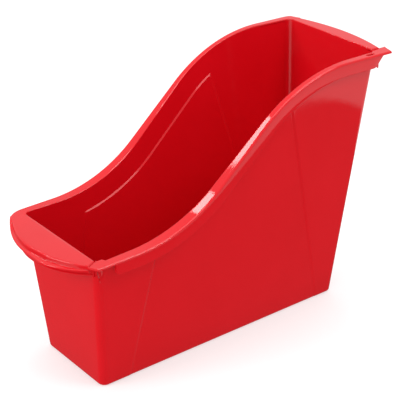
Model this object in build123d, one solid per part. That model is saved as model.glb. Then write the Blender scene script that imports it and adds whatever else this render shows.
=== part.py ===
"""Desk-top bin for books, papers and art supplies, moulded in one piece.

X runs along the length, from the low front (-X) to the tall rear (+X).
Y runs across, Z is up, and everything is in millimetres.
The tub is a drafted box whose side walls are cut down to an S-shaped rim.
Each node is one moulded feature of the tub, and the nodes meet face to face.
"""
import os
from math import cos, radians, sin, sqrt, tan

from build123d import *

# ---- driving dimensions ------------------------------------------------------
wall = 2.0                    # thickness of every wall, flange and skirt
floor_length = 283.6          # front to rear, at the underside of the floor
front_height = 135.0          # top of the front handle and of the rim beside it
rear_height = 258.4           # top of the rear handle and of the rim beside it
front_lean = 0.083            # outward lean of the front wall, mm per mm of height
rear_lean = 0.076             # outward lean of the rear wall
side_lean = 0.1086            # outward lean of each side wall
tub_half_width = 62.6         # outside of a side wall where it meets the rim
corner_radius = 7.0           # upright corners, outside
foot_radius = 3.0             # edge between the walls and the floor, outside

# the S of the rim: near level, hollow bend, straight climb, round bend, level
front_slope = 2.3             # degrees
climb_slope = 42.6            # degrees
hollow_start = 26.0           # distance behind the front foot where the bend starts
hollow_radius = 139.5
round_radius = 146.5

rim_half_width = 70.0         # outer edge of the flange along each side
rim_step = 1.2                # the right rim lies lower, so a neighbour's rim fits over it
skirt_drop = 13.0             # from the top of a side rim to the bottom of its skirt
skirt_inset = 0.8             # from the edge of the flange to the face of the skirt
skirt_front = 4.5             # where each side skirt starts
skirt_rear = 305.0            # where it ends at its top, and how far it slopes back below
skirt_end_slope = 9.0

front_reach = 43.0            # foremost point of the front handle, ahead of the front foot
handle_half_width = 61.0      # where the curve of the front handle ends
handle_end_reach = 19.0       # how far forward that end is
corner_reach = 13.4           # how far forward the outer corner of the side rim is
ledge_width = 4.5             # step round the edge of the front handle
ledge_depth = 4.0
front_skirt_drop = 14.0       # from the top of the front handle to the bottom of its skirt
front_skirt_reach = 37.5      # the skirt hangs this far ahead of the front foot
front_skirt_radius = 72.0     # and curves back more tightly than the edge above it

rear_reach = 318.8            # rearmost point of the rear handle
rear_arc_radius = 205.0
rear_skirt_drop = 19.0
tab_half_width = 56.0         # inner edge of the interlock tab behind the right rim
tab_setback = 4.0             # the outer corner of the tab is this much shorter

slot_length = 9.0             # interlock slot in the right rim, peg on the left rim
slot_width = 2.6
slot_centre = (292.5, 65.0)
peg_clearance = 0.3
peg_length = 5.0

panel_offset = 20.0           # the inset panel follows the rim at this distance
panel_front = (52.5, 31.0)    # x of the panel's front edge at its top and at the floor
panel_rear = (203.0, 262.0)   # x of the panel's rear edge at its top and at the floor
panel_edge_top = (116.0, 218.0)
panel_inset = 1.2             # how far the panel is stepped inward

pocket_x = (-8.0, -1.0)       # interlock pocket at the front corner of the right wall
pocket_height = 26.0
pocket_depth = 3.5

far = 400.0                   # larger than the part, for cutting

# ---- derived dimensions ------------------------------------------------------
front_rim_x = -front_lean * front_height
rear_rim_x = floor_length + rear_lean * rear_height
rim_line_slope = (rear_height - front_height) / (rear_rim_x - front_rim_x)
side_taper = -side_lean * rim_line_slope
half_at_origin = tub_half_width - side_taper * front_rim_x - side_lean * front_height
front_arc_depth = front_reach - handle_end_reach
front_arc_radius = (handle_half_width**2 + front_arc_depth**2) / (2 * front_arc_depth)
shift = Location(((front_reach - rear_reach) / 2, 0, 0))


def side_half_width(x, z):
    """Distance from the middle plane to the outside of a side wall."""
    return half_at_origin + side_taper * x + side_lean * z


def rim_points(depth):
    """Corner and arc points of the rim outline, moved down square to itself by depth."""
    slope, climb = radians(front_slope), radians(climb_slope)

    def below(x, z, angle):
        return (x + depth * sin(angle), z - depth * cos(angle))

    z1 = front_height + (hollow_start - front_rim_x) * tan(slope)
    centre1 = (hollow_start - hollow_radius * sin(slope), z1 + hollow_radius * cos(slope))
    x2 = centre1[0] + hollow_radius * sin(climb)
    z2 = centre1[1] - hollow_radius * cos(climb)
    rise = rear_height - z2 - round_radius * (1 - cos(climb))
    x3 = x2 + rise / tan(climb)
    z3 = z2 + rise
    x4 = x3 + round_radius * sin(climb)
    middle1 = (slope + climb) / 2
    middle2 = climb / 2
    hollow_middle = (centre1[0] + hollow_radius * sin(middle1), centre1[1] - hollow_radius * cos(middle1))
    round_middle = (
        x3 + round_radius * (sin(climb) - sin(middle2)),
        z3 + round_radius * (cos(middle2) - cos(climb)),
    )
    return [
        (front_rim_x, front_height - depth),
        below(hollow_start, z1, slope),
        below(*hollow_middle, middle1),
        below(x2, z2, climb),
        below(x3, z3, climb),
        below(*round_middle, middle2),
        (x4, rear_height - depth),
    ]


def under_rim(depth):
    """Everything below the rim surface, moved down square to itself by depth."""
    points = [(x, 0, z) for x, z in rim_points(depth)]
    start, hollow_in, hollow_mid, hollow_out, round_in, round_mid, level = points
    outline = [
        Line((-far, 0, start[2]), start),
        Line(start, hollow_in),
        ThreePointArc(hollow_in, hollow_mid, hollow_out),
        Line(hollow_out, round_in),
        ThreePointArc(round_in, round_mid, level),
        Line(level, (far, 0, level[2])),
        Line((far, 0, level[2]), (far, 0, -far)),
        Line((far, 0, -far), (-far, 0, -far)),
        Line((-far, 0, -far), (-far, 0, start[2])),
    ]
    return extrude(Face(Wire(outline)), amount=far / 2, dir=(0, 1, 0), both=True)


def block(x_range, y_range, z_range):
    """A box from its lowest and highest corners."""
    size = [high - low for low, high in (x_range, y_range, z_range)]
    return Pos(x_range[0], y_range[0], z_range[0]) * Box(*size, align=(Align.MIN,) * 3)


def tub(inset, side_inset, radius, bottom, foot):
    """The solid tub, with every wall moved inward by inset."""
    body = block((-far, far), (-far, far), (bottom, far))
    lean_normals = [
        (Vector(inset, 0, 0), Vector(1, 0, front_lean)),
        (Vector(floor_length - inset, 0, 0), Vector(-1, 0, rear_lean)),
        (Vector(0, half_at_origin - side_inset, 0), Vector(side_taper, -1, side_lean)),
        (Vector(0, side_inset - half_at_origin, 0), Vector(side_taper, 1, side_lean)),
    ]
    for origin, inward in lean_normals:
        body = split(body, bisect_by=Plane(origin=origin, z_dir=inward), keep=Keep.TOP)
    if radius:
        uprights = body.edges().filter_by(lambda edge: abs((edge @ 1 - edge @ 0).Z) > far / 4)
        body = fillet(uprights, radius)
    if foot:
        body = fillet(body.edges().group_by(Axis.Z)[0], foot)
    return body


def prism(points, z_range):
    """An upright prism over a plan outline."""
    face = make_face(Polyline(*points, close=True))
    return Pos(0, 0, z_range[0]) * extrude(face, amount=z_range[1] - z_range[0])


def disc(x, radius, z_range):
    """An upright cylinder centred on the middle plane."""
    height = z_range[1] - z_range[0]
    base = (Align.CENTER, Align.CENTER, Align.MIN)
    return Pos(x, 0, z_range[0]) * Cylinder(radius, height, align=base)


def side_prism(points, y_range):
    """A prism across the bin over an outline seen from the side."""
    face = Face(Wire(Polyline(*[(x, 0, z) for x, z in points], close=True).edges()))
    return Pos(0, y_range[0], 0) * extrude(face, amount=y_range[1] - y_range[0], dir=(0, 1, 0))


# ---- the shell of the tub ----------------------------------------------------
outer = tub(0, 0, corner_radius, 0, foot_radius)
cavity = tub(wall, wall, corner_radius - wall, wall, 0)
shell = (outer - cavity) & under_rim(wall)
floor_plate = outer & block((-far, far), (-far, far), (0, wall))
walls = shell - block((-far, far), (-far, far), (-wall, wall))

front_wall_end = corner_radius
rear_wall_start = floor_length - corner_radius
front_walls = walls & block((-far, front_wall_end), (-far, far), (0, front_height - wall))
rear_walls = walls & block((rear_wall_start, far), (-far, far), (0, rear_height - wall))
side_walls = walls & block((front_wall_end, rear_wall_start), (-far, far), (0, far))


def panel_outline():
    """The area below the rim where a side wall is stepped inward."""
    foot = foot_radius + wall
    edges = [
        (panel_front[0], panel_edge_top[0]),
        (panel_front[0], far),
        (panel_rear[0], far),
        (panel_rear[0], panel_edge_top[1]),
        (panel_rear[1], foot),
        (panel_front[1], foot),
    ]
    return side_prism(edges, (-far, far)) & under_rim(panel_offset)


panel_area = panel_outline()
stepped_outer = tub(0, panel_inset, 0, 0, 0)
stepped_cavity = tub(wall, wall + panel_inset, 0, wall, 0)
panels = (stepped_outer - stepped_cavity) & panel_area
side_walls = side_walls - panel_area

# ---- side rims ---------------------------------------------------------------
right_side = block((-far, far), (-far, 0), (-far, far))
left_side = block((-far, far), (0, far), (-far, far))
rim_plan_left = [
    (-handle_end_reach, handle_half_width),
    (-corner_reach, rim_half_width),
    (rear_rim_x + wall, rim_half_width),
    (rear_reach, tab_half_width),
    (rear_rim_x - wall * 2, tab_half_width),
    (front_rim_x + wall * 2, tab_half_width),
]
rim_plan_right = [
    (-handle_end_reach, -handle_half_width),
    (-corner_reach, -rim_half_width),
    (rear_reach - tab_setback, -rim_half_width),
    (rear_reach, -tab_half_width),
    (rear_rim_x - wall * 2, -tab_half_width),
    (front_rim_x + wall * 2, -tab_half_width),
]
rear_disc_x = rear_reach - rear_arc_radius
rear_disc = disc(rear_disc_x, rear_arc_radius, (-far, far))
full_height = (-far, far)


def rim_flange(plan, step):
    """The flange over a side wall, with its top moved down by step."""
    band = under_rim(step) - under_rim(step + wall)
    return (prism(plan, full_height) & band) - cavity


def side_skirt(y_range, step):
    """The turned-down edge below a side flange."""
    band = under_rim(step + wall) - under_rim(step + skirt_drop)
    low, high = front_height - 2 * skirt_drop, rear_height
    end_outline = [
        (skirt_front, low),
        (skirt_front, high),
        (skirt_rear, high),
        (skirt_rear - skirt_end_slope, high - skirt_drop),
        (skirt_rear - skirt_end_slope, low),
    ]
    return band & side_prism(end_outline, y_range)


left_rim = rim_flange(rim_plan_left, 0) & rear_disc
right_rim = rim_flange(rim_plan_right, rim_step)
skirt_outer = rim_half_width - skirt_inset
left_skirt = side_skirt((skirt_outer - wall, skirt_outer), 0)
right_skirt = side_skirt((-skirt_outer, wall - skirt_outer), rim_step)

# the walls end under their own flange, so they are lower on the right by the step
step_notch = prism(rim_plan_right, full_height) & (under_rim(0) - under_rim(wall + rim_step))
front_walls = front_walls - step_notch
rear_walls = rear_walls - step_notch
side_walls = side_walls - step_notch

slot_x, slot_y = slot_centre
slot_face = SlotOverall(slot_length, slot_width)
right_rim = right_rim - Pos(slot_x, -slot_y, 0) * extrude(slot_face, amount=far)
peg_face = SlotOverall(slot_length - 2 * peg_clearance, slot_width - 2 * peg_clearance)
peg_top = rear_height - wall
peg = Pos(slot_x, slot_y, peg_top - peg_length) * extrude(peg_face, amount=peg_length)

# ---- interlock pocket at the front corner of the right wall -------------------
pocket_top = front_height
pocket_tip = ((pocket_x[0] + pocket_x[1]) / 2, pocket_top - pocket_height)
pocket_outline = [(pocket_x[0], pocket_top), (pocket_x[1], pocket_top), pocket_tip]
bump_outline = [
    (pocket_x[0] - wall, pocket_top),
    (pocket_x[1] + wall, pocket_top),
    (pocket_tip[0], pocket_tip[1] - 3 * wall),
]
pocket_floor = pocket_depth - tub_half_width
pocket = side_prism(pocket_outline, (-far, pocket_floor))
bump = side_prism(bump_outline, (-far, pocket_floor + wall)) & outer & under_rim(wall + rim_step)
front_walls = (front_walls + (bump & block((-far, front_wall_end), (-far, 0), full_height))) - pocket

# ---- front handle ------------------------------------------------------------
front_disc_x = front_arc_radius - front_reach
handle_strip = block((-far, front_rim_x + 2 * wall), (-handle_half_width, handle_half_width), full_height)
front_zone = handle_strip - prism(rim_plan_left, full_height) - prism(rim_plan_right, full_height)


def front_ring(outside, inside, z_range):
    """Part of a ring that follows the front handle, by distances inside its edge."""
    ring = disc(front_disc_x, front_arc_radius - outside, z_range)
    ring = ring - disc(front_disc_x, front_arc_radius - inside, (-far, far))
    return ring & front_zone & block((-far, front_rim_x), (-far, far), full_height)


plate_z = (front_height - wall, front_height)
front_plate = disc(front_disc_x, front_arc_radius - ledge_width, plate_z) & front_zone
front_plate = front_plate - cavity
ledge_top = front_height - ledge_depth
riser = front_ring(ledge_width, ledge_width + wall, (ledge_top - wall, front_height - wall))
ledge = front_ring(0, ledge_width, (ledge_top - wall, ledge_top))
skirt_disc_x = front_skirt_radius - front_skirt_reach
drop_z = (front_height - front_skirt_drop, front_height - wall)
drop = disc(skirt_disc_x, front_skirt_radius, drop_z)
drop = drop - disc(skirt_disc_x, front_skirt_radius - wall, full_height)
drop = drop & front_zone & block((-far, front_rim_x), (-far, far), full_height)
front_skirt = (riser + ledge + drop) - outer

# ---- rear handle -------------------------------------------------------------
rear_zone = block((rear_rim_x - 2 * wall, far), (-tab_half_width, tab_half_width), full_height)
rear_plate = (disc(rear_disc_x, rear_arc_radius, (rear_height - wall, rear_height)) & rear_zone) - cavity
skirt_z = (rear_height - rear_skirt_drop, rear_height - wall)
rear_ring = disc(rear_disc_x, rear_arc_radius, skirt_z)
rear_ring = rear_ring - disc(rear_disc_x, rear_arc_radius - wall, full_height)
rear_skirt = rear_ring & rear_zone

# ---- named nodes -------------------------------------------------------------
nodes = {
    "floor_panel": floor_plate,
    "front_wall": front_walls,
    "rear_wall": rear_walls,
    "left_wall": side_walls & left_side,
    "right_wall": side_walls & right_side,
    "left_inset_panel": panels & left_side,
    "right_inset_panel": panels & right_side,
    "left_rim": left_rim,
    "right_rim": right_rim,
    "left_skirt": left_skirt,
    "right_skirt": right_skirt,
    "front_handle_plate": front_plate,
    "front_handle_skirt": front_skirt,
    "rear_handle_plate": rear_plate,
    "rear_handle_skirt": rear_skirt,
    "left_rim_peg": peg,
}
os.makedirs("parts", exist_ok=True)
for name, shape in nodes.items():
    export_step(shift * shape, f"parts/{name}.step")
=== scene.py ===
"""Looks of the moulded desk-top bin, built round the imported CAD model, in metres.

The bin is one moulding, so its pieces are made as parts of one continuous skin:
they meet edge to edge on level faces, where no seam shows.
"""
from math import asin, cos, pi, radians, sin, sqrt

import bmesh
import bpy
import numpy as np
from mathutils import Matrix, Quaternion, Vector


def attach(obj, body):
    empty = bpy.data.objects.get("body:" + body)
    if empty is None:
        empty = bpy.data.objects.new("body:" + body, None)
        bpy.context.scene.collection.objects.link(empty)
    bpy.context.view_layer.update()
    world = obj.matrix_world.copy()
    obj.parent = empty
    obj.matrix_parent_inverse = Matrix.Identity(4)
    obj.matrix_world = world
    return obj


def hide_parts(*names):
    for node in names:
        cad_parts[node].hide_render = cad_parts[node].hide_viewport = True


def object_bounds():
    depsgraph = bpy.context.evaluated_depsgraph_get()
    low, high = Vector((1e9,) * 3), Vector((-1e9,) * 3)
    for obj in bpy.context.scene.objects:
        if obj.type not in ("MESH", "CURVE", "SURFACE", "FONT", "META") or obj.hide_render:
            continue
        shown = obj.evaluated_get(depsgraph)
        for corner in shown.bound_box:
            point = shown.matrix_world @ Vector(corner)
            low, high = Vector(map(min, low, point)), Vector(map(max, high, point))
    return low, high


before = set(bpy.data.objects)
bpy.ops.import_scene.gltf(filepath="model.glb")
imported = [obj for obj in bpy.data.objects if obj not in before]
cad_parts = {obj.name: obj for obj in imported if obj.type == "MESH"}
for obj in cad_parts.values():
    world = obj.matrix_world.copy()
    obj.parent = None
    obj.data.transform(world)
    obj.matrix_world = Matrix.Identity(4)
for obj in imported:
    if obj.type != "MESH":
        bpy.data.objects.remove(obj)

cad_low, cad_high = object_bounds()
MM = 0.001

# ---- driving dimensions, as in the CAD source but for those marked visual -------
WALL = 2.0 * MM
FLOOR_LENGTH = 283.6 * MM
FRONT_HEIGHT = 135.0 * MM
REAR_HEIGHT = 258.4 * MM
FRONT_LEAN = 0.083
REAR_LEAN = 0.076
SIDE_LEAN = 0.1086
TUB_HALF = 62.6 * MM
CORNER_RADIUS = 7.0 * MM
FOOT_RADIUS = 3.0 * MM
INNER_FOOT_RADIUS = 2.5 * MM          # visual

FRONT_SLOPE = radians(2.3)
CLIMB_SLOPE = radians(42.6)
HOLLOW_START = 26.0 * MM
HOLLOW_RADIUS = 139.5 * MM
ROUND_RADIUS = 146.5 * MM

RIM_HALF = 70.0 * MM
RIM_STEP = 1.2 * MM
SKIRT_DROP = 13.0 * MM
SKIRT_INSET = 0.8 * MM
SKIRT_FRONT = 4.5 * MM
SKIRT_REAR = 305.0 * MM
SKIRT_END_SLOPE = 9.0 * MM

FRONT_REACH = 43.0 * MM
HANDLE_HALF = 61.0 * MM
HANDLE_END = 19.0 * MM
CORNER_REACH = 13.4 * MM
LEDGE_WIDTH = 4.5 * MM
LEDGE_DEPTH = 4.0 * MM
FRONT_DROP = 14.0 * MM
FRONT_SKIRT_REACH = 37.5 * MM
FRONT_SKIRT_ARC = 72.0 * MM

REAR_REACH = 318.8 * MM
REAR_ARC = 205.0 * MM
REAR_DROP = 19.0 * MM
TAB_HALF = 56.0 * MM
TAB_SETBACK = 4.0 * MM
SLOT = (292.5 * MM, 65.0 * MM)
SLOT_SIZE = (9.0 * MM, 2.6 * MM)
PEG_SIZE = (8.4 * MM, 2.0 * MM, 5.0 * MM)

PANEL_OFFSET = 20.0 * MM
PANEL_FRONT = (52.5 * MM, 31.0 * MM)
PANEL_REAR = (203.0 * MM, 262.0 * MM)
PANEL_TOP = (116.0 * MM, 218.0 * MM)
PANEL_INSET = 1.5 * MM                # visual: a little deeper at the top than in the CAD
PANEL_FOOT_INSET = 0.3 * MM           # visual

POCKET_X = (-8.0 * MM, -1.0 * MM)
POCKET_HEIGHT = 26.0 * MM
POCKET_DEPTH = 3.5 * MM

# ---- derived ------------------------------------------------------------------
front_foot_x = cad_high.x - REAR_REACH
front_rim_x = -FRONT_LEAN * FRONT_HEIGHT
rear_rim_x = FLOOR_LENGTH + REAR_LEAN * REAR_HEIGHT
side_taper = -SIDE_LEAN * (REAR_HEIGHT - FRONT_HEIGHT) / (rear_rim_x - front_rim_x)
half_at_foot = TUB_HALF - side_taper * front_rim_x - SIDE_LEAN * FRONT_HEIGHT
front_sag = FRONT_REACH - HANDLE_END
front_arc = (HANDLE_HALF**2 + front_sag**2) / (2 * front_sag)
inner_radius = CORNER_RADIUS - WALL


def smooth(t):
    t = np.clip(t, 0.0, 1.0)
    return t * t * (3 - 2 * t)


def half_width(x, z):
    """Middle plane to the outside of a side wall."""
    return half_at_foot + side_taper * x + SIDE_LEAN * z


# ---- the S of the rim -----------------------------------------------------------
def rim_line(step=0.25 * MM):
    """x, z and slope along the rim, from ahead of the front handle to behind the rear one."""
    ahead, behind = -0.08, 0.4
    z1 = FRONT_HEIGHT + (HOLLOW_START - front_rim_x) * np.tan(FRONT_SLOPE)
    centre1 = (HOLLOW_START - HOLLOW_RADIUS * sin(FRONT_SLOPE), z1 + HOLLOW_RADIUS * cos(FRONT_SLOPE))
    x2 = centre1[0] + HOLLOW_RADIUS * sin(CLIMB_SLOPE)
    z2 = centre1[1] - HOLLOW_RADIUS * cos(CLIMB_SLOPE)
    z3 = REAR_HEIGHT - ROUND_RADIUS * (1 - cos(CLIMB_SLOPE))
    x3 = x2 + (z3 - z2) / np.tan(CLIMB_SLOPE)
    x4 = x3 + ROUND_RADIUS * sin(CLIMB_SLOPE)
    parts = []
    for start, end, z_start, slope in (
        (ahead, front_rim_x, FRONT_HEIGHT, 0.0),
        (front_rim_x, HOLLOW_START, FRONT_HEIGHT, FRONT_SLOPE),
    ):
        x = np.arange(start, end, step)
        parts.append((x, z_start + (x - start) * np.tan(slope), np.full(len(x), slope)))
    a = np.arange(FRONT_SLOPE, CLIMB_SLOPE, step / HOLLOW_RADIUS)
    parts.append((centre1[0] + HOLLOW_RADIUS * np.sin(a), centre1[1] - HOLLOW_RADIUS * np.cos(a), a))
    x = np.arange(x2, x3, step)
    parts.append((x, z2 + (x - x2) * np.tan(CLIMB_SLOPE), np.full(len(x), CLIMB_SLOPE)))
    a = np.arange(CLIMB_SLOPE, 0, -step / ROUND_RADIUS)
    rise = ROUND_RADIUS * (np.cos(a) - cos(CLIMB_SLOPE))
    parts.append((x3 + ROUND_RADIUS * (sin(CLIMB_SLOPE) - np.sin(a)), z3 + rise, a))
    x = np.arange(x4, behind, step)
    parts.append((x, np.full(len(x), REAR_HEIGHT), np.zeros(len(x))))
    return [np.concatenate(column) for column in zip(*parts)]


RIM_X, RIM_Z, RIM_SLOPE = rim_line()


def rim_height(x, depth=0.0):
    """Height of the rim line, moved down square to itself by depth, at x."""
    return np.interp(x, RIM_X + depth * np.sin(RIM_SLOPE), RIM_Z - depth * np.cos(RIM_SLOPE))


def rim_at(x):
    """Height and slope of the rim at x."""
    return np.interp(x, RIM_X, RIM_Z), np.interp(x, RIM_X, RIM_SLOPE)


def rim_depth(x, z):
    """Distance below the rim, measured square to it."""
    depth = np.zeros(np.shape(x))
    for _ in range(8):
        foot_x = x - depth * np.sin(np.interp(x - depth * 0.5, RIM_X, RIM_SLOPE))
        height, slope = rim_at(foot_x)
        depth = (height - z) * np.cos(slope) - (foot_x - x) * np.sin(slope)
    return depth


# ---- how far a side wall is stepped inward ---------------------------------------
LEDGE_RUN = 1.3 * MM
CREASE_RUN = 3.0 * MM


def crease_x(edge, z):
    """x of the panel's front (0) or rear (1) edge at height z."""
    top_x, foot_x = (PANEL_FRONT, PANEL_REAR)[edge]
    return foot_x + (top_x - foot_x) * z / PANEL_TOP[edge]


def panel_inset(x, z):
    depth = rim_depth(x, z)
    inside = smooth((depth - PANEL_OFFSET + LEDGE_RUN / 2) / LEDGE_RUN)
    inside = inside * smooth((x - crease_x(0, z)) / CREASE_RUN + 0.5)
    inside = inside * smooth((crease_x(1, z) - x) / CREASE_RUN + 0.5)
    height = np.clip(z / np.maximum(rim_height(x, PANEL_OFFSET), 1e-6), 0, 1)
    return inside * (PANEL_FOOT_INSET + (PANEL_INSET - PANEL_FOOT_INSET) * height)


def pocket_inset(x, z):
    """The small tapered recess at the front corner of the right wall."""
    tip = FRONT_HEIGHT - POCKET_HEIGHT
    rise = np.clip((z - tip) / POCKET_HEIGHT, 0, 1.2)
    middle = (POCKET_X[0] + POCKET_X[1]) / 2
    left = middle + (POCKET_X[0] - middle) * np.minimum(rise * 1.6, 1)
    right = middle + (POCKET_X[1] - middle) * rise
    edge = 0.6 * MM
    across = smooth((x - left) / edge + 0.5) * smooth((right - x) / (2.5 * edge) + 0.5)
    return POCKET_DEPTH * across * rise


def wall_inset(side, x, z):
    inset = panel_inset(x, z)
    if side < 0:
        inset = inset + pocket_inset(x, z)
    return inset


# ---- mesh helpers -----------------------------------------------------------------
SHARP_ANGLE = radians(32)


def to_object(name, bm):
    """Mesh object from a bmesh in the bin's own frame, smooth but for its sharp edges."""
    bmesh.ops.remove_doubles(bm, verts=bm.verts, dist=1e-7)
    bmesh.ops.dissolve_degenerate(bm, edges=bm.edges, dist=1e-7)
    bmesh.ops.recalc_face_normals(bm, faces=bm.faces)
    bmesh.ops.translate(bm, verts=bm.verts, vec=(front_foot_x, 0, 0))
    for face in bm.faces:
        face.smooth = True
    for edge in bm.edges:
        if len(edge.link_faces) == 2:
            edge.smooth = edge.calc_face_angle(0) < SHARP_ANGLE
    mesh = bpy.data.meshes.new(name)
    bm.to_mesh(mesh)
    bm.free()
    piece = bpy.data.objects.new(name, mesh)
    bpy.context.scene.collection.objects.link(piece)
    return piece


def add_grid(bm, rows, closed_rows=False, closed_columns=False):
    """Adds quads over a grid of points, rows[i][j]; returns its vertices."""
    verts = [[bm.verts.new(p) for p in row] for row in rows]
    n, m = len(verts), len(verts[0])
    for i in range(n if closed_rows else n - 1):
        for j in range(m if closed_columns else m - 1):
            a, b = verts[i][j], verts[i][(j + 1) % m]
            c, d = verts[(i + 1) % n][(j + 1) % m], verts[(i + 1) % n][j]
            bm.faces.new((a, b, c, d))
    return verts


def loft(name, sections):
    """Closed solid through closed outlines that all have the same number of points."""
    bm = bmesh.new()
    verts = add_grid(bm, sections, closed_columns=True)
    bm.faces.new(verts[0])
    bm.faces.new(verts[-1])
    return to_object(name, bm)


def arc_points(centre, radius, start, end, count):
    """Points on an arc in a profile plane, ends included, angles in degrees."""
    angles = np.radians(np.linspace(start, end, count))
    return [(centre[0] + radius * cos(a), centre[1] + radius * sin(a)) for a in angles]


# ---- the tub ------------------------------------------------------------------------
TOP_EMBED = 0.5 * MM
CORNER_STEPS = 14
FLAT_MARGIN = 3.0 * MM
LEDGE_ROWS = [3, 6, 10, 14, 17, 18.4]
LEDGE_ROWS += [19 + 0.25 * i for i in range(9)]
LEDGE_ROWS += [21.6, 23, 26, 30]
LOWER_ROWS = 26
FILLET_STEPS = 5


def spread(points, counts):
    """Evenly spaced values between successive points, with the given counts."""
    values = []
    for a, b, n in zip(points[:-1], points[1:], counts):
        values += list(np.linspace(a, b, n, endpoint=False))
    return np.array(values + [points[-1]])


def front_x(z):
    return -FRONT_LEAN * z


def rear_x(z):
    return FLOOR_LENGTH + REAR_LEAN * z


def side_columns():
    """Foot and top x of the columns of a side wall, from the front corner to the rear one."""
    top_z = FRONT_HEIGHT
    near = CORNER_RADIUS
    crease_top = [PANEL_FRONT[0] + 4.3 * MM, PANEL_REAR[0] - 8.0 * MM]
    crease_foot = [PANEL_FRONT[1], PANEL_REAR[1]]
    run = CREASE_RUN
    foot = [near, near + 4 * MM, crease_foot[0] - run, crease_foot[0] + run]
    foot += [crease_foot[1] - run, crease_foot[1] + run, FLOOR_LENGTH - near - 2 * MM, FLOOR_LENGTH - near]
    top = [front_x(top_z) + near, front_x(top_z) + near + 9 * MM, crease_top[0] - run, crease_top[0] + run]
    top += [crease_top[1] - run, crease_top[1] + run]
    top += [rear_x(REAR_HEIGHT) - near - FLAT_MARGIN, rear_x(REAR_HEIGHT) - near]
    counts = [18, 18, 12, 46, 12, 34, 2]
    return spread(foot, counts), spread(top, counts)


def column_rows(foot, top, low, high):
    """Points of one column, seen from the side, from the height low to the depth high below the rim."""
    tries = np.linspace(0.35, 1.12, 500)
    x, z = foot[0] + (top[0] - foot[0]) * tries, foot[1] + (top[1] - foot[1]) * tries
    depths = rim_depth(x, z)
    wanted = [d * MM for d in reversed(LEDGE_ROWS)] + [high]
    upper = np.interp(wanted, depths[::-1], tries[::-1])
    start = (low - foot[1]) / (top[1] - foot[1])
    shares = np.concatenate([np.linspace(start, upper[0], LOWER_ROWS, endpoint=False), upper])
    return foot[0] + (top[0] - foot[0]) * shares, foot[1] + (top[1] - foot[1]) * shares


def tub_columns(low, inner):
    """Every column of the tub's outer or inner skin, once round, each from its foot to its top."""
    thick = WALL if inner else 0.0
    radius = inner_radius if inner else CORNER_RADIUS
    columns, starts = [], {}

    def corner(side, end, share):
        """A column of an upright corner; share 0 is on the end wall and 1 on the side wall."""
        end_x = front_x if end < 0 else rear_x
        angle = share * pi / 2
        reach = CORNER_RADIUS - radius * cos(angle)

        def line_x(z):
            return end_x(z) - end * reach

        top_z = rim_height(line_x(FRONT_HEIGHT if end < 0 else REAR_HEIGHT))
        x, z = column_rows((line_x(0), 0), (line_x(top_z), top_z), low, top_depth(side))
        y = half_width(end_x(z) - end * CORNER_RADIUS, z) - CORNER_RADIUS + radius * sin(angle)
        y = y - wall_inset(side, x, z) * smooth(share * 2)
        points = list(zip(x, side * y, z))
        normal = (end * cos(angle), side * sin(angle))
        return points, normal

    def end_wall(end, share):
        """A column of the front or rear wall; share runs from -1 on the right to 1 on the left."""
        end_x = front_x if end < 0 else rear_x
        side = -1 if share < 0 else 1
        top_z = FRONT_HEIGHT if end < 0 else REAR_HEIGHT
        x, z = column_rows((end_x(0), 0), (end_x(top_z), top_z), low, end_depth(share))
        middle = half_width(end_x(z) - end * CORNER_RADIUS, z) - CORNER_RADIUS
        points = list(zip(x - end * thick, share * middle, z))
        return points, (end, 0.0)

    def side_wall(side, foot_x, top_x):
        top_z = rim_height(top_x)
        x, z = column_rows((foot_x, 0), (top_x, top_z), low, top_depth(side))
        y = half_width(x, z) - thick - wall_inset(side, x, z)
        points = list(zip(x, side * y, z))
        return points, (0.0, side)

    def top_depth(side):
        return WALL - TOP_EMBED + (RIM_STEP if side < 0 else 0)

    def end_depth(share):
        return top_depth(-1) if share < -0.98 else top_depth(1)

    def begin(name):
        starts[name] = len(columns)

    foots, tops = side_columns()
    shares = np.linspace(0, 1, CORNER_STEPS + 1)
    begin("front")
    columns += [end_wall(-1, s) for s in np.linspace(1, -1, 9)]
    columns += [corner(-1, -1, s) for s in shares[1:-1]]
    begin("right")
    columns += [side_wall(-1, f, t) for f, t in zip(foots, tops)]
    begin("rear")
    columns += [corner(-1, 1, s) for s in shares[-2:0:-1]]
    columns += [end_wall(1, s) for s in np.linspace(-1, 1, 9)]
    columns += [corner(1, 1, s) for s in shares[1:-1]]
    begin("left")
    columns += [side_wall(1, f, t) for f, t in zip(foots[::-1], tops[::-1])]
    begin("front_again")
    columns += [corner(1, -1, s) for s in shares[-2:0:-1]]
    return columns, starts


def fillet_rings(columns, height, radius):
    """Rings that turn in from the foot of each column to a level floor."""
    rings = []
    for i in range(1, FILLET_STEPS + 1):
        angle = pi / 2 * i / FILLET_STEPS
        inward, down = radius * (1 - cos(angle)), radius * sin(angle)
        rings.append([(p[0][0] - n[0] * inward, p[0][1] - n[1] * inward, height - down) for p, n in columns])
    inward = radius + FLAT_MARGIN
    rings.append([(p[0][0] - n[0] * inward, p[0][1] - n[1] * inward, height - radius) for p, n in columns])
    return rings


FOOT_ROWS = 2


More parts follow.
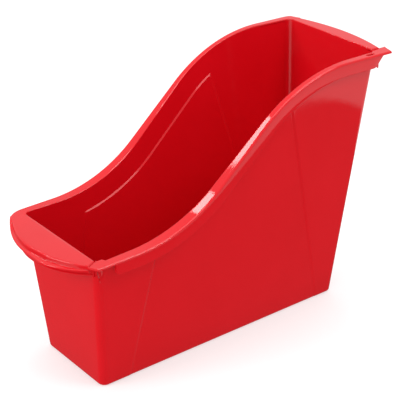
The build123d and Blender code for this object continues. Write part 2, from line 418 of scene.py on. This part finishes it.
def make_tub():
    """The floor and the four walls, cut apart on level stretches of one skin."""
    outer, starts = tub_columns(FOOT_RADIUS, False)
    inner, _ = tub_columns(WALL + INNER_FOOT_RADIUS, True)
    count = len(outer)
    pieces = {}

    bm = bmesh.new()
    rings = [[p[k] for p, _ in outer] for k in range(FOOT_ROWS, -1, -1)]
    rings += fillet_rings(outer, FOOT_RADIUS, FOOT_RADIUS)
    inner_rings = [[p[k] for p, _ in inner] for k in range(FOOT_ROWS, -1, -1)]
    inner_rings += fillet_rings(inner, WALL + INNER_FOOT_RADIUS, INNER_FOOT_RADIUS)
    outside = add_grid(bm, rings, closed_columns=True)
    inside = add_grid(bm, inner_rings, closed_columns=True)
    bm.faces.new(outside[-1])
    bm.faces.new(inside[-1])
    for i in range(count):
        j = (i + 1) % count
        bm.faces.new((outside[0][i], outside[0][j], inside[0][j], inside[0][i]))
    pieces["floor"] = to_object("floor_panel_moulding", bm)

    # each end wall takes its two corners and a strip of both side walls
    margin = 3
    spans = {
        "front": (starts["front_again"] - margin, starts["right"] + margin),
        "right": (starts["right"] + margin, starts["rear"] - 2),
        "rear": (starts["rear"] - 2, starts["left"] + 2),
        "left": (starts["left"] + 2, starts["front_again"] - margin),
    }
    for name, (first, last) in spans.items():
        if last < first:
            last += count
        picked = [i % count for i in range(first, last + 1)]
        bm = bmesh.new()
        out_rows = [outer[i][0][FOOT_ROWS:] for i in picked]
        in_rows = [inner[i][0][FOOT_ROWS:] for i in picked]
        loops = [list(o) + list(reversed(n)) for o, n in zip(out_rows, in_rows)]
        verts = add_grid(bm, loops, closed_columns=True)
        half_count = len(out_rows[0])
        for end in (verts[0], verts[-1]):
            for k in range(half_count - 1):
                a, b = end[k], end[k + 1]
                c, d = end[len(end) - 2 - k], end[len(end) - 1 - k]
                bm.faces.new((a, b, c, d))
        pieces[name] = to_object(f"{name}_wall_moulding", bm)
    return pieces


# ---- flanges, skirts and handles -------------------------------------------------------
EDGE_ROUND = 1.9 * MM
INNER_ROUND = 0.5 * MM
# visual only: the shape of the front handle's edge, and how far its outline swells
STEP_ROUND = 1.3 * MM
RIGHT_FULLNESS = 3.4 * MM
LEFT_CORNER_GAIN = 4.5 * MM
LEDGE_SWELL = 3.0 * MM


def inner_edge(side, x, z):
    """Middle plane to the inner edge of a flange, which is flush with the inside of the tub."""
    front_in = front_x(z) + CORNER_RADIUS
    rear_in = rear_x(z) - CORNER_RADIUS
    y = half_width(x, z) - WALL - wall_inset(side, np.array(x), np.array(z))
    if x < front_in:
        reach = min(front_in - x, inner_radius)
        middle = half_width(front_in, z) - CORNER_RADIUS
        y = middle + sqrt(max(inner_radius**2 - reach**2, 0))
        y -= wall_inset(side, np.array(x), np.array(z))
        if front_in - x > inner_radius:
            corner_y = middle
            end = HANDLE_END + (LEFT_CORNER_GAIN if side > 0 else 0)
            share = (front_in - inner_radius - x) / (front_in - inner_radius + end)
            y = corner_y + (HANDLE_HALF - corner_y) * min(share, 1)
    elif x > rear_in:
        reach = min(x - rear_in, inner_radius)
        middle = half_width(rear_in, z) - CORNER_RADIUS
        y = middle + sqrt(max(inner_radius**2 - reach**2, 0))
        if x - rear_in > inner_radius:
            y = TAB_HALF
    return float(y)


def flange_outline(width, edge_round):
    """Closed outline (across, depth) of a flange, from its inner edge round to its underside."""
    r_out = min(edge_round, 0.45 * width)
    r_in = min(INNER_ROUND, 0.2 * width)
    top_in = [(r_in - r_in * cos(a), r_in - r_in * sin(a)) for a in np.linspace(0, pi / 2, 4)]
    top_out = [(width - r_out + r_out * sin(a), r_out - r_out * cos(a)) for a in np.linspace(0, pi / 2, 8)]
    under = [(width, WALL - 0.05 * MM), (width - 0.3 * MM * min(1, width / MM), WALL), (0, WALL)]
    flat = [(r_in + (width - r_out - r_in) * s, 0.0) for s in (0.1, 0.5, 0.9)]
    return top_in + flat + top_out + under


def rim_piece(side, name, stations, outer_edge, step):
    """A side flange, as a closed outline carried along the S of the rim."""
    sections = []
    for x in stations:
        height, slope = rim_at(x)
        y_in = inner_edge(side, x, height)
        y_out = max(outer_edge(x), y_in + 0.12 * MM)
        section = []
        for across, depth in flange_outline(y_out - y_in, EDGE_ROUND):
            down = depth + step
            px = x + down * sin(slope)
            pz = height - down * cos(slope)
            share = 1 - across / (y_out - y_in)
            y = y_in + across - SIDE_LEAN * down * share
            section.append((px, side * y, pz))
        sections.append(section)
    return loft(name, sections)


def right_outer(x):
    """Outer edge of the right flange, with its tapered front corner and rear tab."""
    front_tip, corner = -HANDLE_END, -CORNER_REACH
    rear_corner, rear_tip = REAR_REACH - TAB_SETBACK, REAR_REACH
    if x < corner:
        return HANDLE_HALF + (RIM_HALF - HANDLE_HALF) * (x - front_tip) / (corner - front_tip)
    if x > rear_corner:
        return TAB_HALF + (RIM_HALF - TAB_HALF) * (rear_tip - x) / (rear_tip - rear_corner)
    return RIM_HALF


def left_outer(x):
    """Outer edge of the left flange, with its round front corner and soft rear corner."""
    corner_run = 17.5 * MM
    start = HANDLE_END + LEFT_CORNER_GAIN
    if x < corner_run - start:
        t = max((x + start) / corner_run, 0)
        return HANDLE_HALF + (RIM_HALF - HANDLE_HALF) * (1 - (1 - t) ** 2.3)
    centre = REAR_REACH - REAR_ARC
    arc_y = sqrt(max(REAR_ARC**2 - (x - centre) ** 2, 0)) if x > centre else RIM_HALF
    corner = rear_rim_x
    soft = RIM_HALF
    if x > corner - 4 * MM:
        t = min((x - corner + 4 * MM) / (9 * MM), 1)
        soft = RIM_HALF - 4 * MM * (1 - sqrt(1 - t * t))
    return min(arc_y, soft)


def stadium(middle, length, width, steps=10):
    """Plan outline with round ends, anticlockwise, lengthwise along the bin."""
    reach = (length - width) / 2
    ring = arc_points((middle[0] + reach, middle[1]), width / 2, -90, 90, steps)
    return ring + arc_points((middle[0] - reach, middle[1]), width / 2, 90, 270, steps)


def cut_slot(rim):
    """Cut the interlock slot through the right flange."""
    low, high = REAR_HEIGHT - 8 * MM, REAR_HEIGHT + 4 * MM
    ring = stadium((SLOT[0], -SLOT[1]), *SLOT_SIZE)
    cutter = loft("slot_cutter", [[(x, y, z) for x, y in ring] for z in (low, high)])
    cut = rim.modifiers.new("slot", "BOOLEAN")
    cut.operation = "DIFFERENCE"
    cut.solver = "EXACT"
    cut.object = cutter
    scene_graph = bpy.context.evaluated_depsgraph_get()
    scene_graph.update()
    mesh = bpy.data.meshes.new_from_object(rim.evaluated_get(scene_graph))
    rim.modifiers.clear()
    old = rim.data
    rim.data = mesh
    bpy.data.meshes.remove(old)
    hollow = cutter.data
    bpy.data.objects.remove(cutter)
    bpy.data.meshes.remove(hollow)


def make_rims():
    """Both side flanges, with stations close together where their outline turns."""
    front_in = front_x(FRONT_HEIGHT) + WALL
    rear_in = rear_rim_x - WALL
    fine_front = [-HANDLE_END + 0.02 * MM] + list(np.linspace(-HANDLE_END + 0.5 * MM, front_in, 20))
    front_arc_x = [front_in + inner_radius * (1 - cos(a)) for a in np.linspace(0, pi / 2, 9)[1:]]
    pocket_x = list(np.linspace(front_arc_x[-1], POCKET_X[1] + 4 * MM, 26))[1:]
    along = list(np.linspace(pocket_x[-1], rear_in - inner_radius, 150))[1:]
    rear_arc_x = [rear_in - inner_radius * (1 - sin(a)) for a in np.linspace(0, pi / 2, 9)[1:]]
    common = fine_front + front_arc_x + pocket_x + along + rear_arc_x
    tab = list(np.linspace(rear_in + 0.3 * MM, REAR_REACH - TAB_SETBACK, 8))
    tab += list(np.linspace(REAR_REACH - TAB_SETBACK, REAR_REACH - 0.05 * MM, 10))[1:]
    centre = REAR_REACH - REAR_ARC
    left_end = centre + sqrt(REAR_ARC**2 - TAB_HALF**2)
    tail = list(np.linspace(rear_in + 0.3 * MM, left_end, 20))
    right = rim_piece(-1, "right_rim_flange", common + tab, right_outer, RIM_STEP)
    far_front = -HANDLE_END - LEFT_CORNER_GAIN
    ahead = [far_front + 0.02 * MM] + list(np.linspace(far_front + 0.5 * MM, -HANDLE_END, 8))[:-1]
    left = rim_piece(1, "left_rim_flange", ahead + common + tail, left_outer, 0.0)
    cut_slot(right)
    return left, right


def make_skirt(side, name, step):
    """The turned-down edge under a side flange, with a round front corner."""
    corner = 4.0 * MM
    face = RIM_HALF - SKIRT_INSET
    stations = [SKIRT_FRONT + corner * (1 - cos(a)) for a in np.linspace(0, pi / 2, 8)]
    stations += list(np.linspace(stations[-1], SKIRT_REAR, 110))[1:]
    sections = []
    for x in stations:
        height, slope = rim_at(x)
        ahead = max(SKIRT_FRONT + corner - x, 0)
        bottom = SKIRT_DROP - corner + sqrt(max(corner**2 - ahead**2, 0))
        past = x - (SKIRT_REAR - SKIRT_END_SLOPE)
        if past > 0:
            bottom = WALL + 0.6 * MM + (SKIRT_DROP - WALL - 0.6 * MM) * (1 - past / SKIRT_END_SLOPE)
        top = WALL - 0.4 * MM
        r = 0.6 * MM
        profile = [(face, top), (face, bottom - r), (face - 0.2 * r, bottom - 0.4 * r)]
        profile += [(face - r, bottom), (face - WALL + r, bottom)]
        profile += [(face - WALL, bottom - r), (face - WALL, top)]
        section = []
        for y, depth in profile:
            down = depth + step
            section.append((x + down * sin(slope), side * y, height - down * cos(slope)))
        sections.append(section)
    return loft(name, sections)


def skirt_distance(start, direction):
    """How far along a line from start the outside of the front skirt is met."""
    middle = np.array([FRONT_SKIRT_ARC - FRONT_SKIRT_REACH, 0.0])
    offset = start - middle
    along = float(offset @ direction)
    return -along + sqrt(max(along**2 - float(offset @ offset) + FRONT_SKIRT_ARC**2, 0.0))


def round_off_end(sections, across_x, across_y):
    """Round the end of a handle plate down onto the lower right rim."""
    full = sections.pop()
    for a in np.linspace(pi / 2, 0, 5):
        slide = RIM_STEP * sin(a)
        fall = RIM_STEP * (1 - cos(a))
        sections.append([(x + across_x * slide, y + across_y * slide, z - fall) for x, y, z in full])


def make_front_handle():
    """The crescent plate, its rounded step, the ledge below it and the skirt set back under that."""
    centre_x = front_arc - FRONT_REACH
    end_angle = asin(HANDLE_HALF / front_arc)
    inner_x = front_x(FRONT_HEIGHT) + WALL
    corner_y = half_width(inner_x, FRONT_HEIGHT) - CORNER_RADIUS
    quarter = np.linspace(0, pi / 2, 8)
    sections = []
    for v in np.sin(np.linspace(-pi / 2, pi / 2, 81)):
        angle = v * end_angle
        fullness = sin(pi * abs(v)) if v < 0 else 0.0
        outer_x = centre_x - front_arc * cos(angle) - RIGHT_FULLNESS * fullness
        if v > 0:
            outer_x -= LEFT_CORNER_GAIN * v**3
        outer = np.array([max(outer_x, 0.01 * MM - FRONT_REACH), front_arc * sin(angle)])
        inner = np.array([inner_x, corner_y * v])
        span = float(np.linalg.norm(outer - inner))
        direction = (outer - inner) / span
        width = LEDGE_WIDTH + LEDGE_SWELL * (fullness - 0.35)
        ledge = 0.9 * MM + (width - 0.9 * MM) * (1 - abs(v) ** 5)
        depth = LEDGE_DEPTH * (1 - smooth((v - 0.6) / 0.38)) + 0.02 * MM
        roll = min(STEP_ROUND, ledge, 0.45 * depth)
        toe = min(0.4 * MM, 0.45 * depth)
        slant = min(0.7 * MM, 0.2 * ledge)
        brow = min(0.9 * MM, max(ledge - toe - slant, 0.2 * MM) * 0.8)
        plate_edge = span - ledge
        low = -depth
        skirt = min(max(skirt_distance(inner, direction), WALL + 0.1 * MM), span - 1.6 * MM)
        foot = -FRONT_DROP
        lip = 0.5 * MM
        profile = [(INNER_ROUND * (1 - cos(a)), INNER_ROUND * (sin(a) - 1)) for a in quarter[::2]]
        profile += [(INNER_ROUND + (plate_edge - roll - INNER_ROUND) * s, 0.0) for s in (0.1, 0.5, 0.9)]
        profile += [(plate_edge - roll * (1 - sin(a)), -roll * (1 - cos(a))) for a in quarter]
        base = plate_edge + slant
        profile += [(base + toe * (1 - cos(a)), low + toe * (1 - sin(a))) for a in quarter[::2]]
        profile += [(span - brow * (1 - sin(a)), low - brow * (1 - cos(a))) for a in quarter]
        profile += [(span - 0.2 * MM, low - WALL + 0.2 * MM), (span - 0.5 * MM, low - WALL)]
        profile += [(skirt, low - WALL), (skirt, foot + 4 * lip), (skirt + lip, foot + 3 * lip)]
        profile += [(skirt + lip, foot + lip), (skirt, foot), (skirt - WALL + lip, foot)]
        profile += [(skirt - WALL, foot + lip), (skirt - WALL, -WALL), (0.0, -WALL)]
        sections.append([(*(inner + direction * a), FRONT_HEIGHT + b) for a, b in profile])
        if v == -1:
            round_off_end(sections, -direction[1], direction[0])
    return loft("front_handle_moulding", sections)


def make_rear_handle():
    """The curved rear plate and the skirt under its edge."""
    centre_x = REAR_REACH - REAR_ARC
    end_angle = asin(TAB_HALF / REAR_ARC)
    inner_x = rear_rim_x - WALL
    sections = []
    for v in np.linspace(-1, 1, 61):
        angle = v * end_angle
        outer = np.array([centre_x + REAR_ARC * cos(angle), REAR_ARC * sin(angle)])
        inner = np.array([inner_x, TAB_HALF * v])
        span = float(np.linalg.norm(outer - inner))
        direction = (outer - inner) / span
        profile = []
        for a in np.linspace(0, pi / 2, 4):
            profile.append((INNER_ROUND - INNER_ROUND * cos(a), -INNER_ROUND + INNER_ROUND * sin(a)))
        r = EDGE_ROUND
        profile += [(INNER_ROUND + (span - r - INNER_ROUND) * s, 0.0) for s in (0.1, 0.5, 0.9)]
        profile += [(span - r + r * sin(a), -r + r * cos(a)) for a in np.linspace(0, pi / 2, 8)]
        foot = -REAR_DROP
        profile += [(span, foot + 0.6 * MM), (span - 0.2 * MM, foot + 0.2 * MM), (span - 0.6 * MM, foot)]
        profile += [(span - WALL, foot), (span - WALL, -WALL), (0.0, -WALL)]
        sections.append([(*(inner + direction * a), REAR_HEIGHT + b) for a, b in profile])
        if v == -1:
            round_off_end(sections, direction[1], -direction[0])
    return loft("rear_handle_moulding", sections)


def make_peg():
    """The guessed peg under the left rim: a stadium with a soft lower edge."""
    length, width, height = PEG_SIZE
    top = REAR_HEIGHT - WALL + 0.4 * MM
    sections = []
    foot = top - height
    soft_edge = ((foot - 0.2 * MM, 0.1 * MM), (foot - 0.4 * MM, 0.4 * MM))
    for z, shrink in ((top, 0.0), (foot, 0.0), *soft_edge):
        r = width / 2 - shrink
        ring = stadium(SLOT, length - 2 * shrink, 2 * r)
        sections.append([(x, y, z) for x, y in ring])
    return loft("left_rim_peg_moulding", sections)


# ---- material -----------------------------------------------------------------------------
def node(tree, kind, **values):
    """A shader node with its sockets or settings filled in."""
    made = tree.nodes.new(kind)
    for key, value in values.items():
        if key in made.inputs:
            made.inputs[key].default_value = value
        else:
            setattr(made, key, value)
    return made


def red_plastic():
    """Glossy polypropylene: a faint moulded grain, broad waviness, and uneven tone and gloss."""
    material = bpy.data.materials.new("red_polypropylene")
    material.use_nodes = True
    tree = material.node_tree
    shader = tree.nodes["Principled BSDF"]
    shader.inputs["IOR"].default_value = 1.49
    link = tree.links.new
    place = node(tree, "ShaderNodeTexCoord")

    tone = node(tree, "ShaderNodeTexNoise", Scale=14.0, Detail=3.0)
    link(place.outputs["Object"], tone.inputs["Vector"])
    ramp = node(tree, "ShaderNodeValToRGB")
    ramp.color_ramp.elements[0].position = 0.3
    ramp.color_ramp.elements[0].color = (0.610, 0.0031, 0.0080, 1)
    ramp.color_ramp.elements[1].position = 0.7
    ramp.color_ramp.elements[1].color = (0.640, 0.0041, 0.0098, 1)
    link(tone.outputs["Fac"], ramp.inputs["Fac"])
    link(ramp.outputs["Color"], shader.inputs["Base Color"])

    patch = node(tree, "ShaderNodeTexNoise", Scale=22.0, Detail=5.0, Roughness=0.6)
    link(place.outputs["Object"], patch.inputs["Vector"])
    gloss = node(tree, "ShaderNodeMapRange")
    gloss.inputs["From Min"].default_value = 0.3
    gloss.inputs["From Max"].default_value = 0.7
    gloss.inputs["To Min"].default_value = 0.03
    gloss.inputs["To Max"].default_value = 0.06
    link(patch.outputs["Fac"], gloss.inputs["Value"])
    link(gloss.outputs["Result"], shader.inputs["Roughness"])

    wave = node(tree, "ShaderNodeTexNoise", Scale=9.0, Detail=1.0)
    grain = node(tree, "ShaderNodeTexNoise", Scale=1400.0, Detail=2.0)
    link(place.outputs["Object"], wave.inputs["Vector"])
    link(place.outputs["Object"], grain.inputs["Vector"])
    broad = node(tree, "ShaderNodeBump", Strength=0.05, Distance=0.004)
    fine = node(tree, "ShaderNodeBump", Strength=0.06, Distance=0.0002)
    link(wave.outputs["Fac"], broad.inputs["Height"])
    link(grain.outputs["Fac"], fine.inputs["Height"])
    link(broad.outputs["Normal"], fine.inputs["Normal"])
    link(fine.outputs["Normal"], shader.inputs["Normal"])
    return material


# ---- the room: floor, lights, camera ---------------------------------------------------------
# glow of the sheets only reflections see: the first is painted shadow of the bin on the floor, the second
# the lit floor
REFLECTED_SHADOW_GLOW, BRIGHT_TABLE = 0.17, 0.98
SKY = 0.73
OVERHEAD, FRONT_FILL, RIGHT_EDGE, RIM_STRIP = 1.9, 5.0, 7.0, 9.0
CAMERA_AZIMUTH, CAMERA_ELEVATION, CAMERA_ROLL = radians(-36.66), radians(25.25), radians(-0.17)
CAMERA_DISTANCE = 1.2724
CAMERA_AIM = Vector((0.0071, 0.0006, 0.1265))
CAMERA_LENS = 122.14


def make_floor():
    """The pale sheet the bin stands on, kept out of reflections: glowing sheets below stand in for it there,
    a bright one for the lit floor and a dim one that is painted shadow of the bin.
    """
    bm = bmesh.new()
    size = 6.0
    bmesh.ops.create_grid(bm, x_segments=8, y_segments=8, size=size)
    mesh = bpy.data.meshes.new("studio_floor")
    bm.to_mesh(mesh)
    bm.free()
    floor = bpy.data.objects.new("studio_floor", mesh)
    bpy.context.scene.collection.objects.link(floor)
    floor.location.z = cad_low.z - 0.0002
    paper = bpy.data.materials.new("pale_paper")
    paper.use_nodes = True
    shader = paper.node_tree.nodes["Principled BSDF"]
    shader.inputs["Base Color"].default_value = (0.6, 0.6, 0.6, 1)
    shader.inputs["Emission Color"].default_value = (1, 1, 1, 1)
    shader.inputs["Emission Strength"].default_value = 0.45
    shader.inputs["Roughness"].default_value = 0.9
    shader.inputs["Specular IOR Level"].default_value = 0.1
    mesh.materials.append(paper)
    floor.visible_glossy = False


def make_reflection_sheet(name, outline, lift, strength):
    """A glowing sheet that only reflections see: the dim one close to the bin is a painted reflected shadow,
    the bright one beyond is the lit floor.
    """
    bm = bmesh.new()
    bm.faces.new([bm.verts.new((x, y, 0)) for x, y in outline])
    mesh = bpy.data.meshes.new(name)
    bm.to_mesh(mesh)
    bm.free()
    glow_sheet = bpy.data.objects.new(name, mesh)
    bpy.context.scene.collection.objects.link(glow_sheet)
    glow_sheet.location.z = cad_low.z - lift
    glow_material = bpy.data.materials.new(name)
    glow_material.use_nodes = True
    tree = glow_material.node_tree
    tree.nodes.remove(tree.nodes["Principled BSDF"])
    glow = node(tree, "ShaderNodeEmission", Strength=strength)
    tree.links.new(glow.outputs["Emission"], tree.nodes["Material Output"].inputs["Surface"])
    mesh.materials.append(glow_material)
    glow_sheet.visible_camera = False
    glow_sheet.visible_diffuse = False
    glow_sheet.visible_transmission = False
    glow_sheet.visible_shadow = False


def make_reflection_sheets():
    """The dim sheet, painted shadow of the bin on the floor as the walls reflect it, has its near right
    corner in view of the near wall; the bright one lies under it.
    """
    right, near, left, far = 0.445, -0.315, -1.1, 0.7
    corner = 0.06
    shadow_outline = [(right, far), (left, far), (left, near)]
    shadow_outline += arc_points((right - corner, near + corner), corner, -90, 0, 12)
    # painted shadow: this dim sheet glows where the bin's own shadow would lie, so the walls reflect shade
    # there
    make_reflection_sheet("reflected_shadow_sheet", shadow_outline, 0.1 * MM, REFLECTED_SHADOW_GLOW)
    wide = [(3, 3), (-3, 3), (-3, -3), (3, -3)]
    make_reflection_sheet("bright_table", wide, 0.2 * MM, BRIGHT_TABLE)


def area_light(name, place, aim, size, radiance, along=(1, 0, 0)):
    """A rectangular softbox whose long side lies as near as it can to along."""
    data = bpy.data.lights.new(name, "AREA")
    data.shape = "RECTANGLE"
    data.size, data.size_y = size
    data.energy = radiance * pi * size[0] * size[1]
    lamp = bpy.data.objects.new(name, data)
    bpy.context.scene.collection.objects.link(lamp)
    lamp.location = place
    back = (Vector(place) - Vector(aim)).normalized()
    across = Vector(along)
    across = (across - back * across.dot(back)).normalized()
    turn = Matrix((across, back.cross(across), back)).transposed()
    lamp.rotation_euler = turn.to_euler()
    lamp.visible_camera = False
    return lamp


def make_lights():
    """Four softboxes, given by radiance, and an even white sky."""
    centre = (cad_low + cad_high) / 2
    area_light("overhead_panel", (0.1, 0.1, 1.7), centre, (1.6, 1.6), OVERHEAD)
    area_light("front_fill_panel", (-1.5, 0.35, 0.75), centre, (0.9, 0.7), FRONT_FILL)
    area_light("right_edge_panel", (0.27, -0.72, 1.1), centre, (0.4, 0.3), RIGHT_EDGE)
    near_rim = (0.0, -0.066, 0.19)
    climb = (0.885, 0, 0.466)
    area_light("rim_strip", (-0.205, 0.478, 0.665), near_rim, (0.14, 0.09), RIM_STRIP, climb)
    world = bpy.data.worlds.new("studio")
    bpy.context.scene.world = world
    world.use_nodes = True
    background = world.node_tree.nodes["Background"]
    background.inputs["Color"].default_value = (1, 1, 1, 1)
    background.inputs["Strength"].default_value = SKY


def make_camera():
    level = cos(CAMERA_ELEVATION)
    back = Vector((sin(CAMERA_AZIMUTH) * level, -cos(CAMERA_AZIMUTH) * level, sin(CAMERA_ELEVATION)))
    data = bpy.data.cameras.new("camera")
    data.lens = CAMERA_LENS
    data.sensor_width = 36.0
    camera = bpy.data.objects.new("camera", data)
    bpy.context.scene.collection.objects.link(camera)
    camera.location = CAMERA_AIM + back * CAMERA_DISTANCE
    turn = Quaternion((0.0, 0.0, 1.0), CAMERA_ROLL)
    camera.rotation_euler = ((-back).to_track_quat("-Z", "Y") @ turn).to_euler()
    bpy.context.scene.camera = camera


# ---- assembly ---------------------------------------------------------------------------------
plastic = red_plastic()
tub = make_tub()
left_rim, right_rim = make_rims()
pieces = {
    tub["floor"]: ["floor_panel"],
    tub["front"]: ["front_wall"],
    tub["rear"]: ["rear_wall"],
    tub["left"]: ["left_wall", "left_inset_panel"],
    tub["right"]: ["right_wall", "right_inset_panel"],
    left_rim: ["left_rim"],
    right_rim: ["right_rim"],
    make_skirt(1, "left_skirt_moulding", 0.0): ["left_skirt"],
    make_skirt(-1, "right_skirt_moulding", RIM_STEP): ["right_skirt"],
    make_front_handle(): ["front_handle_plate", "front_handle_skirt"],
    make_rear_handle(): ["rear_handle_plate", "rear_handle_skirt"],
    make_peg(): ["left_rim_peg"],
}
for piece, nodes in pieces.items():
    piece.data.materials.append(plastic)
    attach(piece, "root")
    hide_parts(*nodes)

make_floor()
make_reflection_sheets()
make_lights()
make_camera()
bpy.context.scene.view_settings.view_transform = "Standard"
